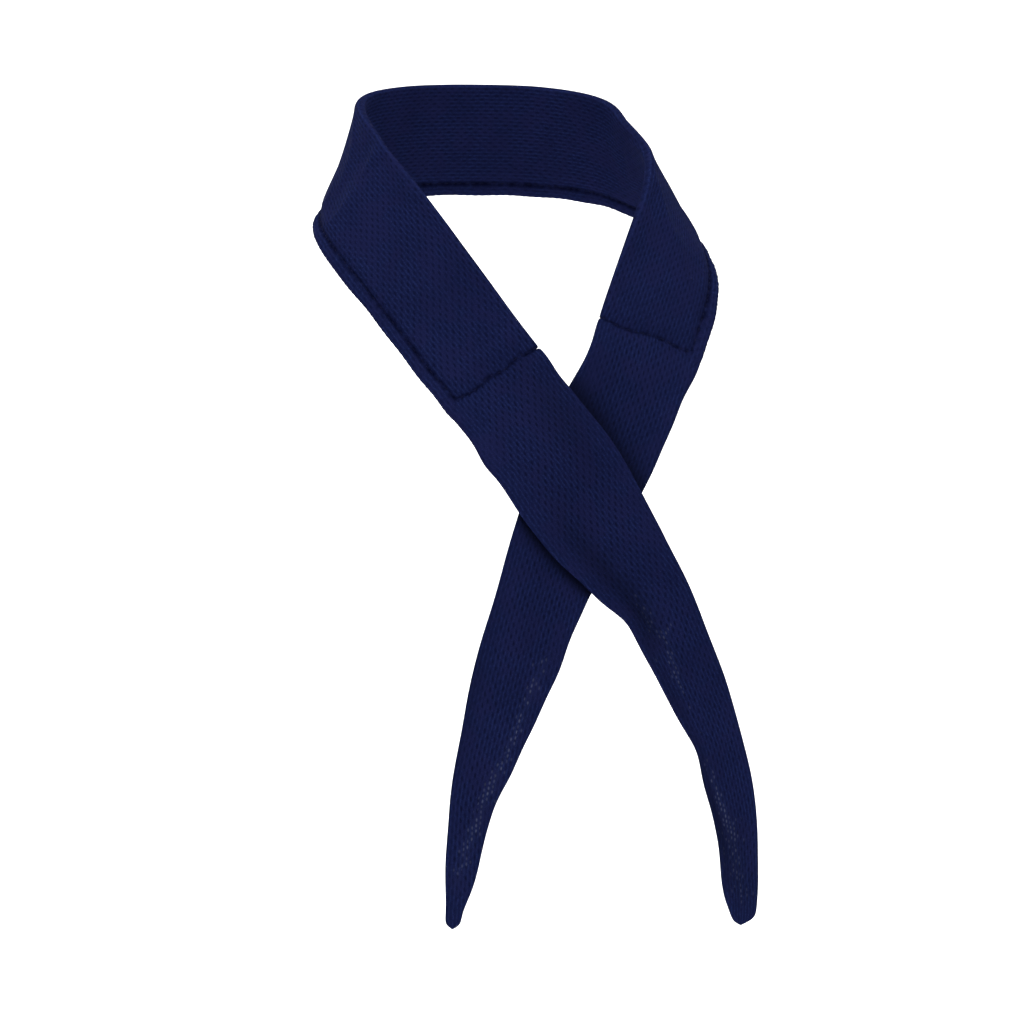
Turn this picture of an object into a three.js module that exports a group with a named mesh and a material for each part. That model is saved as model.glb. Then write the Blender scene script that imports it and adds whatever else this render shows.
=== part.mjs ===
// Cooling neck wrap: a padded band round the neck whose two tapered tails cross in front and hang.
// Millimetres, +Z up, -Y is the wearer's front and +X the wearer's left.
// The origin is the middle of the band's inner face at the nape.
import * as THREE from "three";

// Driving sizes
const NECK_RADIUS = 60; // the neck under the band's inner edge
const HANG = 336; // height from the nape down to the tips
const STRIP_WIDTH = 52; // the flat strip, edge to edge
const PAD_THICKNESS = 6.4; // the filled pocket at its middle
const PAD_SEAM_THICKNESS = 3.4; // the pocket where a cross seam presses it flat
const SEAM_PRESS = 16; // how far from a cross seam the pocket is pressed
const LIP_WIDTH = 5.6; // the hem beyond the long seam
const LIP_THICKNESS = 3.8;
const TAIL_THICKNESS = 2.6; // two layers of knit
const SEAM_GAP = 0.3; // clearance between neighbouring pieces along a seam
const CROSSING_GAP = 2.2; // air between the tails where one crosses the other
const UNDER_SEAM_SLANT = 5; // how far each end of the under cross seam is shifted along the strip
const CURL_START = -0.1; // where across the strip the curl of the outer edge begins
const OVER_TIP_INNER = 4; // how far from its end the over tail starts to round, at each edge
const OVER_TIP_OUTER = 15;
const UNDER_TIP_INNER = 3;
const UNDER_TIP_OUTER = 4;

// Rings for each row, points in each ring, and how round the rings' edges are
const PAD_STEPS = 5;
const PAD_SIDES = 20;
const PAD_ROUNDNESS = 0.5;
const LIP_SIDES = 10;
const LIP_ROUNDNESS = 0.8;
const TAIL_STEPS = 3;
const TAIL_SIDES = 16;
const TAIL_ROUNDNESS = 0.45;

// Finish
const NAVY = 0x181d46;
const KNIT_ROUGHNESS = 0.92;

// The strip's middle line on both sides of the neck, a row for each place from the nape to the tip.
// side and front are shares of NECK_RADIUS from the neck's axis, side towards the strip's own shoulder.
// drop is a share of HANG. turn is how far the face has turned round from the back, in degrees.
// lean is how far the face looks up, in degrees. width and curl are shares of STRIP_WIDTH.
const row = (side, front, drop, turn, lean, width, curl) => ({ side, front, drop, turn, lean, width, curl });

const NAPE = row(0, -1.15, 0.012, 0, 14, 1, 0);

const OVER_SIDE = [
  // side, front, drop, turn, lean, width, curl
  row(0.55, -0.98, 0.014, 30, 14, 1, 0),
  row(0.97, -0.66, 0.022, 56, 15, 1, 0),
  row(1.16, -0.33, 0.038, 75, 20, 1, 0),
  row(1.245, 0.15, 0.07, 97, 31, 1, 0),
  row(1.18, 0.52, 0.109, 114, 33, 1, 0),
  row(1.005, 0.89, 0.168, 132, 31, 0.97, 0),
  row(0.745, 1.21, 0.248, 149, 29, 0.93, 0),
  row(0.545, 1.38, 0.302, 160, 27, 0.92, 0),
  row(0.335, 1.54, 0.362, 172, 21, 0.96, 0),
  row(0.14, 1.66, 0.416, 179, 16, 0.98, 0),
  row(-0.075, 1.74, 0.477, 181, 11, 0.94, 0),
  row(-0.29, 1.78, 0.53, 184, 6, 0.79, 0.02),
  row(-0.515, 1.8, 0.583, 194, 3, 0.64, 0.05),
  row(-0.67, 1.8, 0.642, 199, 1, 0.6, 0.04),
  row(-0.82, 1.79, 0.701, 201, 0, 0.57, 0.03),
  row(-0.965, 1.77, 0.76, 203, 0, 0.485, 0.02),
  row(-1.055, 1.75, 0.82, 203, 0, 0.48, 0.02),
  row(-1.13, 1.73, 0.88, 203, 0, 0.43, 0.01),
  row(-1.155, 1.72, 0.94, 203, 0, 0.385, 0.01),
  row(-1.17, 1.71, 0.977, 203, 0, 0.34, 0),
  row(-1.17, 1.7, 1, 203, 0, 0.31, 0),
];
const OVER_SEAM_ROW = 8;

const UNDER_SIDE = [
  // side, front, drop, turn, lean, width, curl
  row(0.55, -0.98, 0.015, 30, 14, 1, 0),
  row(0.92, -0.66, 0.027, 56, 16, 1, 0),
  row(1.065, -0.33, 0.05, 76, 23, 1, 0),
  row(1.18, 0.15, 0.08, 102, 29, 1, 0),
  row(1.13, 0.53, 0.112, 128, 27, 1, 0),
  row(0.97, 0.9, 0.17, 154, 26, 1, 0),
  row(0.68, 1.26, 0.257, 168, 26, 0.96, 0),
  row(0.505, 1.42, 0.307, 172, 24, 0.9, 0),
  row(0.225, 1.58, 0.385, 179, 19, 0.93, 0),
  row(0.055, 1.67, 0.438, 180, 14, 0.92, 0),
  row(-0.085, 1.73, 0.486, 180, 10, 0.87, 0),
  row(-0.24, 1.77, 0.547, 182, 5, 0.79, 0.01),
  row(-0.365, 1.77, 0.604, 187, 2, 0.71, 0.02),
  row(-0.475, 1.76, 0.661, 191, 0, 0.67, 0.02),
  row(-0.585, 1.74, 0.719, 193, 0, 0.59, 0.02),
  row(-0.69, 1.72, 0.775, 194, 0, 0.48, 0.01),
  row(-0.78, 1.7, 0.832, 194, 0, 0.37, 0.01),
  row(-0.83, 1.68, 0.892, 194, 0, 0.29, 0),
  row(-0.87, 1.67, 0.936, 194, 0, 0.22, 0),
  row(-0.9, 1.66, 0.967, 194, 0, 0.15, 0),
  row(-0.91, 1.65, 0.988, 194, 0, 0.12, 0),
];
const UNDER_SEAM_ROW = 7;

// The main dents and folds of the soft strip: place counts rows, negative on the under side, and length
// is in rows. share and breadth are across the strip, from -1 to 1. depth is a share of STRIP_WIDTH.
// slant moves the dent across the strip by so much share for each row.
const dent = (place, share, depth, length, breadth, slant) => ({ place, share, depth, length, breadth, slant });

const DENTS = [
  // place, share, depth, length, breadth, slant
  dent(13.2, 0.3, 0.045, 0.9, 0.35, -0.2),
  dent(11.4, 0.45, 0.02, 0.8, 0.3, 0.3),
  dent(3.9, -0.1, 0.02, 0.22, 0.9, 1.2),
  dent(8.6, -0.85, 0.025, 0.3, 0.2, 0),
  dent(-9.2, -0.1, 0.02, 0.8, 0.5, 0.2),
  dent(-14.5, 0.3, 0.02, 1.2, 0.35, 0),
];

// The strip as one line of rows in space: negative places are the under side, positive the over side.
const OVER_OWN_SIDE = -1;
const UNDER_OWN_SIDE = 1;

function placed(entry, ownSide) {
  return {
    x: ownSide * entry.side * NECK_RADIUS,
    y: -entry.front * NECK_RADIUS,
    z: -entry.drop * HANG,
    heading: 180 - ownSide * entry.turn,
    lean: entry.lean,
    width: entry.width * STRIP_WIDTH,
    curl: entry.curl * STRIP_WIDTH,
  };
}

const UNDER_END = -UNDER_SIDE.length;
const OVER_END = OVER_SIDE.length;
const SPINE = [
  ...UNDER_SIDE.map((entry) => placed(entry, UNDER_OWN_SIDE)).reverse(),
  placed(NAPE, OVER_OWN_SIDE),
  ...OVER_SIDE.map((entry) => placed(entry, OVER_OWN_SIDE)),
];

const LAST_ROW = SPINE.length - 1;
const spineRow = (index) => SPINE[THREE.MathUtils.clamp(index, 0, LAST_ROW)];

// A smooth curve through four neighbouring values, between the second and the third.
function smoothValue(before, from, to, after, t) {
  const bend = 2 * from + (to - before) * t;
  const square = (2 * before - 5 * from + 4 * to - after) * t * t;
  const cube = (3 * from - before - 3 * to + after) * t * t * t;
  return (bend + square + cube) / 2;
}

function rowAt(place) {
  const position = THREE.MathUtils.clamp(place - UNDER_END, 0, LAST_ROW);
  const index = Math.min(Math.floor(position), LAST_ROW - 1);
  const four = [index - 1, index, index + 1, index + 2].map(spineRow);
  const blended = {};
  for (const name of Object.keys(four[1])) {
    blended[name] = smoothValue(...four.map((entry) => entry[name]), position - index);
  }
  return blended;
}

const middleAt = (place) => {
  const { x, y, z } = rowAt(place);
  return new THREE.Vector3(x, y, z);
};

// The strip's own directions at a place: along it, across it towards the outer edge, and out of its face.
const SLOPE_STEP = 0.02; // rows

function frameAt(place) {
  const at = rowAt(place);
  const ahead = Math.min(place + SLOPE_STEP, OVER_END);
  const behind = Math.max(place - SLOPE_STEP, UNDER_END);
  const along = middleAt(ahead).sub(middleAt(behind)).normalize();
  const heading = THREE.MathUtils.degToRad(at.heading);
  const lean = THREE.MathUtils.degToRad(at.lean);
  const facing = new THREE.Vector3(
    Math.sin(heading) * Math.cos(lean),
    -Math.cos(heading) * Math.cos(lean),
    Math.sin(lean),
  );
  const across = new THREE.Vector3().crossVectors(along, facing).normalize();
  const out = new THREE.Vector3().crossVectors(across, along);
  return { middle: new THREE.Vector3(at.x, at.y, at.z), across, out, width: at.width, curl: at.curl };
}

// Millimetres along the strip for one row near a place.
function rowLength(place) {
  const ahead = Math.min(place + SLOPE_STEP, OVER_END);
  const behind = Math.max(place - SLOPE_STEP, UNDER_END);
  return middleAt(ahead).distanceTo(middleAt(behind)) / (ahead - behind);
}

const smoothStep = (value) => THREE.MathUtils.smoothstep(value, 0, 1);

// The over tail lies above the under tail by both half thicknesses and the air between them.
const CROSSING_LIFT = TAIL_THICKNESS + CROSSING_GAP;
const LIFT_ROWS = 2.5;
const liftAt = (place) => CROSSING_LIFT * smoothStep((place - OVER_SEAM_ROW + 1) / LIFT_ROWS);

// The nape's inner face is moved to the origin.
const napeFrame = frameAt(0);
const ORIGIN_SHIFT = napeFrame.out
  .clone()
  .multiplyScalar(PAD_THICKNESS / 2)
  .sub(napeFrame.middle);

// The under cross seam runs aslant: its inner end lies further down the strip than its outer end.
const SLANT_ROWS = 2.5;

function slantAt(place) {
  const near = 1 - smoothStep(Math.abs(place + UNDER_SEAM_ROW) / SLANT_ROWS);
  return (UNDER_SEAM_SLANT / rowLength(-UNDER_SEAM_ROW)) * near;
}

function dentAt(place, share) {
  return DENTS.reduce((sum, each) => {
    const along = (place - each.place) / each.length;
    const across = (share - each.share - each.slant * (place - each.place)) / each.breadth;
    return sum + each.depth * STRIP_WIDTH * Math.exp(-along * along - across * across);
  }, 0);
}

// A point of the strip: share is -1 at the inner edge and 1 at the outer edge, height is out of its face.
function stripPoint(station, share, height) {
  const place = station + slantAt(station) * share;
  const frame = frameAt(place);
  const curled = Math.max(0, (share - CURL_START) / (1 - CURL_START));
  const outward = height + liftAt(place) - frame.curl * curled * curled - dentAt(place, share);
  return frame.middle
    .clone()
    .addScaledVector(frame.across, (share * frame.width) / 2)
    .addScaledVector(frame.out, outward)
    .add(ORIGIN_SHIFT);
}

// Closes a ring of points with a fan round its centre.
function closeEnd(points, faces, sides, firstPoint, lastEnd) {
  const centre = new THREE.Vector3();
  for (let side = 0; side < sides; side += 1) {
    centre.add(points[firstPoint + side]);
  }
  const middle = points.push(centre.divideScalar(sides)) - 1;
  for (let side = 0; side < sides; side += 1) {
    const here = firstPoint + side;
    const next = firstPoint + ((side + 1) % sides);
    faces.push(lastEnd ? [middle, next, here] : [middle, here, next]);
  }
}

// A closed solid lofted along the strip through rings of points. Each section has its place, its inner
// and outer share and its thickness. A roundness of 1 makes an oval ring and 0 a square-edged one.
function loft(sections, sides, roundness) {
  const points = [];
  const soften = (value) => Math.sign(value) * Math.abs(value) ** roundness;
  for (const section of sections) {
    for (let side = 0; side < sides; side += 1) {
      const angle = (side / sides) * 2 * Math.PI;
      const reach = soften(Math.cos(angle));
      const share = section.inner + ((reach + 1) / 2) * (section.outer - section.inner);
      const height = (soften(Math.sin(angle)) * section.thickness) / 2;
      points.push(stripPoint(section.place, share, height));
    }
  }
  const faces = [];
  for (let ring = 0; ring < sections.length - 1; ring += 1) {
    for (let side = 0; side < sides; side += 1) {
      const next = (side + 1) % sides;
      const here = ring * sides;
      const there = here + sides;
      faces.push([here + side, there + side, here + next]);
      faces.push([here + next, there + side, there + next]);
    }
  }
  closeEnd(points, faces, sides, 0, false);
  closeEnd(points, faces, sides, (sections.length - 1) * sides, true);
  const geometry = new THREE.BufferGeometry().setFromPoints(points);
  geometry.setIndex(faces.flat());
  geometry.computeVertexNormals();
  return geometry;
}

// Places from one end to the other in steps of about the wanted length.
function placesBetween(from, to, stepsPerRow) {
  const count = Math.ceil(Math.abs(to - from) * stepsPerRow);
  return Array.from({ length: count + 1 }, (_, step) => from + ((to - from) * step) / count);
}

const halfGap = (place) => SEAM_GAP / 2 / rowLength(place);
const PAD_FROM = -UNDER_SEAM_ROW;
const PAD_TO = OVER_SEAM_ROW;
const PAD_START = PAD_FROM + halfGap(PAD_FROM);
const PAD_END = PAD_TO - halfGap(PAD_TO);

// The filled pocket, pressed flat towards its two cross seams.
function padThickness(place) {
  const toSeam = Math.min((place - PAD_FROM) * rowLength(place), (PAD_TO - place) * rowLength(place));
  const full = smoothStep(toSeam / SEAM_PRESS);
  return PAD_SEAM_THICKNESS + (PAD_THICKNESS - PAD_SEAM_THICKNESS) * full;
}

function neckPad() {
  const sections = placesBetween(PAD_START, PAD_END, PAD_STEPS).map((place) => {
    const share = (2 * (LIP_WIDTH + SEAM_GAP)) / rowAt(place).width;
    return { place, inner: -1, outer: 1 - share, thickness: padThickness(place) };
  });
  return loft(sections, PAD_SIDES, PAD_ROUNDNESS);
}

// The stitched edge below the long seam.
function hemLip() {
  const sections = placesBetween(PAD_START, PAD_END, PAD_STEPS).map((place) => {
    const share = (2 * LIP_WIDTH) / rowAt(place).width;
    return { place, inner: 1 - share, outer: 1, thickness: LIP_THICKNESS };
  });
  return loft(sections, LIP_SIDES, LIP_ROUNDNESS);
}

// A tail from its cross seam to a rounded tip, in rings that come closer at the tip.
const TIP_RINGS = [0.75, 0.5, 0.3, 0.15, 0.05];

// How wide the strip still is on one side, as a share, at a distance from its end.
const rounded = (distance, length) => Math.sqrt(1 - (1 - Math.min(distance / length, 1)) ** 2);

function tail(seam, end, innerTip, outerTip) {
  const direction = Math.sign(end - seam);
  const start = seam + direction * halfGap(seam);
  const tipLength = Math.max(innerTip, outerTip);
  const tipRows = tipLength / rowLength(end);
  const tipStart = end - direction * tipRows;
  const places = placesBetween(start, tipStart, TAIL_STEPS);
  const sections = places.map((place) => ({ place, inner: -1, outer: 1, thickness: TAIL_THICKNESS }));
  for (const left of TIP_RINGS) {
    const inner = rounded(tipLength * left, innerTip);
    const outer = rounded(tipLength * left, outerTip);
    const place = end - direction * tipRows * left;
    const thickness = (TAIL_THICKNESS * (inner + outer)) / 2;
    sections.push({ place, inner: -inner, outer, thickness });
  }
  return loft(direction > 0 ? sections : sections.reverse(), TAIL_SIDES, TAIL_ROUNDNESS);
}

function knit(name, geometry) {
  const material = new THREE.MeshStandardMaterial({ color: NAVY, roughness: KNIT_ROUGHNESS, metalness: 0 });
  const mesh = new THREE.Mesh(geometry, material);
  mesh.name = name;
  return mesh;
}

const wrap = new THREE.Group();
wrap.add(knit("neck_pad", neckPad()));
wrap.add(knit("hem_lip", hemLip()));
wrap.add(knit("over_tail", tail(OVER_SEAM_ROW, OVER_END, OVER_TIP_INNER, OVER_TIP_OUTER)));
wrap.add(knit("under_tail", tail(-UNDER_SEAM_ROW, UNDER_END, UNDER_TIP_INNER, UNDER_TIP_OUTER)));

export default wrap;
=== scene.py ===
# %% [markdown]
# # A cooling neck wrap in Blender
#
# The wrap is one long strip of navy mesh knit. Its middle part is a pocket, filled and pressed flat, that
# goes round the neck. Two tapered tails cross in front and hang down. A seam runs along the lower edge of
# the pocket and leaves a soft hem outside it, and a short seam closes the pocket at each end.
#
# Everything here is in metres. The imported model is loaded first, and the pieces made below take the
# place of its plain solids.

import math
from types import SimpleNamespace

import bpy
import numpy as np
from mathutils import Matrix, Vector


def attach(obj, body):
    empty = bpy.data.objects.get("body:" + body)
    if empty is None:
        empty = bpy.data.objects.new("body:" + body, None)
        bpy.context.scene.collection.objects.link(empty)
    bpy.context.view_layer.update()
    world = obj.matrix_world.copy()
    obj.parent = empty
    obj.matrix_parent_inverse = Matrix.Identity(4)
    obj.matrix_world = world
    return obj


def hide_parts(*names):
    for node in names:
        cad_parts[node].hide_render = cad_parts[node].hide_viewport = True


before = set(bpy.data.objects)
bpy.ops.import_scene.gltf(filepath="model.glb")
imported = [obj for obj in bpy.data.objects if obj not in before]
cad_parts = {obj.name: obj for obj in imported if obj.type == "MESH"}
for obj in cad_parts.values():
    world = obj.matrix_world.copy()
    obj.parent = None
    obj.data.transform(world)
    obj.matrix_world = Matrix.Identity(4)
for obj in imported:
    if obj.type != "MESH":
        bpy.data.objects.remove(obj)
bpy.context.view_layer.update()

# %% [markdown]
# ## The studio
#
# The picture to match is a catalogue shot: a long lens, almost level, a little to the wearer's right, and
# a white surround. A camera is easiest to place by a target point and two angles, so that a change of
# distance never changes what it looks at. The lens is long because a short one would make the near tails
# look too wide against the band behind the neck.

# %% Aim the camera
TARGET = Vector((-0.00345, -0.08332, -0.16116))
AZIMUTH = math.radians(-17)
ELEVATION = math.radians(6)
DISTANCE = 1.8
LENS_MM = 143.82
SENSOR_MM = 36

towards_camera = Vector((
    math.sin(AZIMUTH) * math.cos(ELEVATION),
    -math.cos(AZIMUTH) * math.cos(ELEVATION),
    math.sin(ELEVATION),
))
camera_data = bpy.data.cameras.new("camera")
camera_data.lens = LENS_MM
camera_data.sensor_width = SENSOR_MM
camera_data.clip_end = 30
camera = bpy.data.objects.new("camera", camera_data)
camera.location = TARGET + DISTANCE * towards_camera
camera.rotation_euler = towards_camera.to_track_quat("Z", "Y").to_euler()
bpy.context.collection.objects.link(camera)
bpy.context.scene.camera = camera
print("camera at", [round(value, 3) for value in camera.location])

# The photograph's whites are full white, so brightness goes to the picture as it is, without a film curve.
bpy.context.scene.view_settings.view_transform = "Standard"

# %% [markdown]
# ### Floor and backdrop
#
# A photographer hangs a roll of paper and lets it curve into the floor, so that no edge shows behind the
# object. The same is done here with one bent strip of faces: flat in front, a quarter circle, and a wall.
# It lies below the tips of the tails, because the wrap is shown as it hangs on a wearer.

# %% Bend the paper roll
FLOOR_LEVEL = -0.46
ROLL_NEAR = -4.0
ROLL_BEND = 2.2
ROLL_RADIUS = 1.4
ROLL_TOP = 4.0
ROLL_HALF_WIDTH = 5.0
BEND_STEPS = 24


def paper_roll():
    """One sheet of faces that runs along the floor, up a quarter circle and up the wall."""
    profile = [(ROLL_NEAR, FLOOR_LEVEL)]
    for step in range(BEND_STEPS + 1):
        angle = math.radians(90) * step / BEND_STEPS
        profile.append((
            ROLL_BEND + ROLL_RADIUS * math.sin(angle),
            FLOOR_LEVEL + ROLL_RADIUS * (1 - math.cos(angle)),
        ))
    profile.append((ROLL_BEND + ROLL_RADIUS, ROLL_TOP))
    corners = [(side * ROLL_HALF_WIDTH, y, z) for y, z in profile for side in (-1, 1)]
    faces = [(2 * i, 2 * i + 1, 2 * i + 3, 2 * i + 2) for i in range(len(profile) - 1)]
    mesh = bpy.data.meshes.new("paper_roll")
    mesh.from_pydata(corners, [], faces)
    mesh.polygons.foreach_set("use_smooth", [True] * len(faces))
    roll = bpy.data.objects.new("paper_roll", mesh)
    bpy.context.collection.objects.link(roll)
    return roll


def new_material(name):
    """A material, its node tree and its shader."""
    material = bpy.data.materials.new(name)
    material.use_nodes = True
    return material, material.node_tree, material.node_tree.nodes["Principled BSDF"]


roll = paper_roll()
paper, _, paper_shader = new_material("white_paper")
paper_shader.inputs["Base Color"].default_value = (0.95, 0.95, 0.95, 1)
paper_shader.inputs["Roughness"].default_value = 0.9
roll.data.materials.append(paper)
print("paper roll faces:", len(roll.data.polygons))

# %% [markdown]
# ### Lights
#
# Soft light has no hard shadow edge, and its softness comes from the size of the lamp as seen from the
# object. Six large panels stand round the wrap: the main one in front on the left, a weaker one on the
# right, one above, two at the sides that brighten the edges, and one that lights the paper. A pale
# world fills what they leave. Their places and aims are in metres, and their strengths in watts.

# %% Hang the soft lights


def soft_light(name, place, aim, size, watts):
    data = bpy.data.lights.new(name, "AREA")
    data.shape = "RECTANGLE"
    data.size, data.size_y = size
    data.energy = watts
    lamp = bpy.data.objects.new(name, data)
    lamp.location = place
    lamp.rotation_euler = (Vector(place) - Vector(aim)).to_track_quat("Z", "Y").to_euler()
    bpy.context.collection.objects.link(lamp)


WRAP_MIDDLE = (0, -0.08, -0.15)
PAPER_BEHIND = (0, 3.0, 0.2)

# name, place, aim, size, watts
for light in (
    ("main_light", (-0.8, -2.1, 0.8), WRAP_MIDDLE, (1.1, 1.1), 28),
    ("right_light", (1.3, -1.9, 0.8), WRAP_MIDDLE, (0.8, 0.8), 8),
    ("top_light", (0.0, -0.2, 1.9), WRAP_MIDDLE, (1.6, 1.6), 2),
    ("left_side_light", (-2.0, 0.3, -0.1), WRAP_MIDDLE, (0.8, 1.6), 5),
    ("right_side_light", (2.0, 0.1, -0.1), WRAP_MIDDLE, (0.8, 1.6), 7),
    ("paper_light", (0.0, 0.5, 2.6), PAPER_BEHIND, (4.0, 1.5), 230),
):
    soft_light(*light)

WORLD_STRENGTH = 0.42
world = bpy.data.worlds.new("studio")
world.use_nodes = True
world.node_tree.nodes["Background"].inputs["Color"].default_value = (1, 1, 1, 1)
world.node_tree.nodes["Background"].inputs["Strength"].default_value = WORLD_STRENGTH
bpy.context.scene.world = world
print("lights:", len(bpy.data.lights))

# %% [markdown]
# ## The strip's line
#
# A strap in space is best described once and used by every piece on it. Here that description is a table:
# for each place along the strip it says where the middle of the strip is, which way its face looks, how
# wide it is and how much its outer edge curls back. Places are counted from the nape: 1, 2, 3 and on
# down one tail, and the same numbers below zero down the other. The first columns are shares of the
# neck's radius, the third is a share of the height that the tails hang, and the last two are shares of
# the strip's width, so the table keeps its shape when one of these sizes changes.

# %% Write down the strip
MM = 0.001
NECK_RADIUS = 60 * MM
HANG = 336 * MM
STRIP_WIDTH = 52 * MM
PAD_THICKNESS = 6.4 * MM
LIP_WIDTH = 5.6 * MM
TAIL_THICKNESS = 2.6 * MM
CROSSING_GAP = 2.2 * MM
UNDER_SEAM_SLANT = 5 * MM

NAPE = (0, -1.15, 0.012, 0, 14, 1, 0)

# side, front, drop, turn, lean, width, curl
OVER_SIDE = (
    (0.55, -0.98, 0.014, 30, 14, 1, 0),
    (0.97, -0.66, 0.022, 56, 15, 1, 0),
    (1.16, -0.33, 0.038, 75, 20, 1, 0),
    (1.245, 0.15, 0.07, 97, 31, 1, 0),
    (1.18, 0.52, 0.109, 114, 33, 1, 0),
    (1.005, 0.89, 0.168, 132, 31, 0.97, 0),
    (0.745, 1.21, 0.248, 149, 29, 0.93, 0),
    (0.545, 1.38, 0.302, 160, 27, 0.92, 0),
    (0.335, 1.54, 0.362, 172, 21, 0.96, 0),
    (0.14, 1.66, 0.416, 179, 16, 0.98, 0),
    (-0.075, 1.74, 0.477, 181, 11, 0.94, 0),
    (-0.29, 1.78, 0.53, 184, 6, 0.79, 0.02),
    (-0.515, 1.8, 0.583, 194, 3, 0.64, 0.05),
    (-0.67, 1.8, 0.642, 199, 1, 0.6, 0.04),
    (-0.82, 1.79, 0.701, 201, 0, 0.57, 0.03),
    (-0.965, 1.77, 0.76, 203, 0, 0.485, 0.02),
    (-1.055, 1.75, 0.82, 203, 0, 0.48, 0.02),
    (-1.13, 1.73, 0.88, 203, 0, 0.43, 0.01),
    (-1.155, 1.72, 0.94, 203, 0, 0.385, 0.01),
    (-1.17, 1.71, 0.977, 203, 0, 0.34, 0),
    (-1.17, 1.7, 1, 203, 0, 0.31, 0),
)
OVER_SEAM = 8

UNDER_SIDE = (
    (0.55, -0.98, 0.015, 30, 14, 1, 0),
    (0.92, -0.66, 0.027, 56, 16, 1, 0),
    (1.065, -0.33, 0.05, 76, 23, 1, 0),
    (1.18, 0.15, 0.08, 102, 29, 1, 0),
    (1.13, 0.53, 0.112, 128, 27, 1, 0),
    (0.97, 0.9, 0.17, 154, 26, 1, 0),
    (0.68, 1.26, 0.257, 168, 26, 0.96, 0),
    (0.505, 1.42, 0.307, 172, 24, 0.9, 0),
    (0.225, 1.58, 0.385, 179, 19, 0.93, 0),
    (0.055, 1.67, 0.438, 180, 14, 0.92, 0),
    (-0.085, 1.73, 0.486, 180, 10, 0.87, 0),
    (-0.24, 1.77, 0.547, 182, 5, 0.79, 0.01),
    (-0.365, 1.77, 0.604, 187, 2, 0.71, 0.02),
    (-0.475, 1.76, 0.661, 191, 0, 0.67, 0.02),
    (-0.585, 1.74, 0.719, 193, 0, 0.59, 0.02),
    (-0.69, 1.72, 0.775, 194, 0, 0.48, 0.01),
    (-0.78, 1.7, 0.832, 194, 0, 0.37, 0.01),
    (-0.83, 1.68, 0.892, 194, 0, 0.29, 0),
    (-0.87, 1.67, 0.936, 194, 0, 0.22, 0),
    (-0.9, 1.66, 0.967, 194, 0, 0.15, 0),
    (-0.91, 1.65, 0.988, 194, 0, 0.12, 0),
)
UNDER_SEAM = -7

# The soft dents: place, share across, depth, length, breadth, slant
DENTS = (
    (13.2, 0.3, 0.055, 0.9, 0.3, -0.2),
    (11.9, 0.45, 0.03, 1.2, 0.22, -0.04),
    (11.4, 0.45, 0.02, 0.8, 0.3, 0.3),
    (3.9, -0.1, 0.02, 0.22, 0.9, 1.2),
    (8.6, -0.85, 0.025, 0.3, 0.2, 0),
    (-9.2, -0.1, 0.02, 0.8, 0.5, 0.2),
    (-14.5, 0.3, 0.02, 1.2, 0.35, 0),
)
print("rows on each side of the nape:", len(OVER_SIDE), len(UNDER_SIDE), "dents:", len(DENTS))

# %% [markdown]
# ### From the table to a smooth line
#
# Between two rows every value follows a Catmull-Rom curve, which passes through the rows and has no
# kinks. It is worked out for a whole array of places at once with numpy, which keeps thousands of points
# quick. A place needs more than its middle point, though: it also needs three directions, along the strip,
# across it towards its outer edge, and out of its face.

# %% Follow the strip


def placed_row(row, own_side):
    """A row of the table in metres and degrees, on its own side of the neck."""
    side, front, drop, turn, lean, width, curl = row
    heading = 180 - own_side * turn
    return (
        own_side * side * NECK_RADIUS, -front * NECK_RADIUS, -drop * HANG,
        heading, lean, width * STRIP_WIDTH, curl * STRIP_WIDTH,
    )


UNDER_END = -len(UNDER_SIDE)
OVER_END = len(OVER_SIDE)
SPINE = np.array(
    [placed_row(row, 1) for row in reversed(UNDER_SIDE)]
    + [placed_row(NAPE, -1)]
    + [placed_row(row, -1) for row in OVER_SIDE]
)
LAST_ROW = len(SPINE) - 1


def rows_at(place):
    """The table's seven values at each place, blended along a smooth curve."""
    position = np.clip(np.asarray(place, float) - UNDER_END, 0, LAST_ROW)
    index = np.minimum(np.floor(position).astype(int), LAST_ROW - 1)
    before, here, there, after = (SPINE[np.clip(index + step, 0, LAST_ROW)] for step in (-1, 0, 1, 2))
    t = (position - index)[..., None]
    bend = 2 * here + (there - before) * t
    square = (2 * before - 5 * here + 4 * there - after) * t**2
    cube = (3 * here - before - 3 * there + after) * t**3
    return (bend + square + cube) / 2


print("middle line at the over seam, in mm:", np.round(rows_at(OVER_SEAM)[:3] / MM, 1).tolist())

# %% [markdown]
# ### Three directions
#
# The slope of the middle line gives the first direction. The face's heading and lean, in degrees, say
# roughly which way the cloth looks. Two cross products then give directions that are square to each
# other, however the strip twists.

# %% Find the directions
SLOPE_STEP = 0.02


def unit(vectors):
    return vectors / np.linalg.norm(vectors, axis=-1, keepdims=True)


def line_slope(place):
    """How far and in what direction the middle line moves for one row."""
    ahead = np.minimum(np.asarray(place, float) + SLOPE_STEP, OVER_END)
    behind = np.maximum(np.asarray(place, float) - SLOPE_STEP, UNDER_END)
    return (rows_at(ahead) - rows_at(behind))[..., :3] / (ahead - behind)[..., None]


def directions_at(place):
    """The table's values at each place, and the directions along, across and out of the face."""
    values = rows_at(place)
    heading, lean = np.radians(values[..., 3]), np.radians(values[..., 4])
    facing = np.stack(
        [np.sin(heading) * np.cos(lean), -np.cos(heading) * np.cos(lean), np.sin(lean)], axis=-1
    )
    along = unit(line_slope(place))
    across = unit(np.cross(along, facing))
    return values, along, across, np.cross(across, along)


print("directions at the nape:", [np.round(way, 2).tolist() for way in directions_at(0.0)[1:]])

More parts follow.
